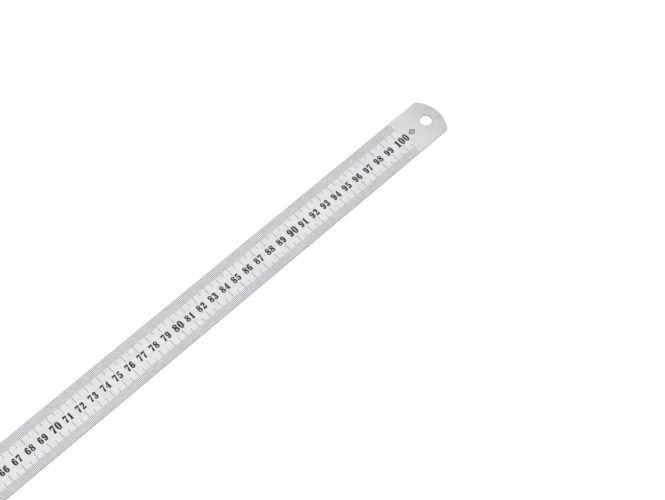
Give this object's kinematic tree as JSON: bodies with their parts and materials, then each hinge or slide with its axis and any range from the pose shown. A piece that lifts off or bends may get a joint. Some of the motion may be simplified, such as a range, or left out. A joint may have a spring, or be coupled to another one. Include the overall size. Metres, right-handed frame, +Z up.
{
  "type": "steel ruler",
  "caption": "Long flat steel ruler with centimetres on one face and inches on the other, a square zero end, a round end and a hanging hole.",
  "frame": {"origin": "under the middle of the blade: the centre of its bounding box in length and width, on the face that it rests on", "axes": "+X along the blade from the square zero end to the hanging hole, +Y across it, +Z up out of the centimetre face"},
  "size_m": [1.0376, 0.031, 0.001],
  "materials": {
    "steel": "satin",
    "enamel": "satin"
  },
  "bodies": {
    "root": {"blade": "steel", "inch_grid_sixteenths": "enamel", "inch_grid_tenths": "enamel", "numeral_100_hundreds": "enamel", "numeral_100_tens": "enamel", "numeral_100_units": "enamel", "numeral_10_tens": "enamel", "numeral_10_units": "enamel", "numeral_20_tens": "enamel", "numeral_20_units": "enamel", "numeral_30_tens": "enamel", "numeral_30_units": "enamel", "numeral_40_tens": "enamel", "numeral_40_units": "enamel", "numeral_50_tens": "enamel", "numeral_50_units": "enamel", "numeral_60_tens": "enamel", "numeral_60_units": "enamel", "numeral_70_tens": "enamel", "numeral_70_units": "enamel", "numeral_80_tens": "enamel", "numeral_80_units": "enamel", "numeral_90_tens": "enamel", "numeral_90_units": "enamel", "stroke_100_cm_lower": "enamel", "stroke_100_cm_upper": "enamel", "stroke_10_cm_lower": "enamel", "stroke_10_cm_upper": "enamel", "stroke_20_cm_lower": "enamel", "stroke_20_cm_upper": "enamel", "stroke_30_cm_lower": "enamel", "stroke_30_cm_upper": "enamel", "stroke_40_cm_lower": "enamel", "stroke_40_cm_upper": "enamel", "stroke_50_cm_lower": "enamel", "stroke_50_cm_upper": "enamel", "stroke_60_cm_lower": "enamel", "stroke_60_cm_upper": "enamel", "stroke_70_cm_lower": "enamel", "stroke_70_cm_upper": "enamel", "stroke_80_cm_lower": "enamel", "stroke_80_cm_upper": "enamel", "stroke_90_cm_lower": "enamel", "stroke_90_cm_upper": "enamel"}
  },
  "joints": []
}
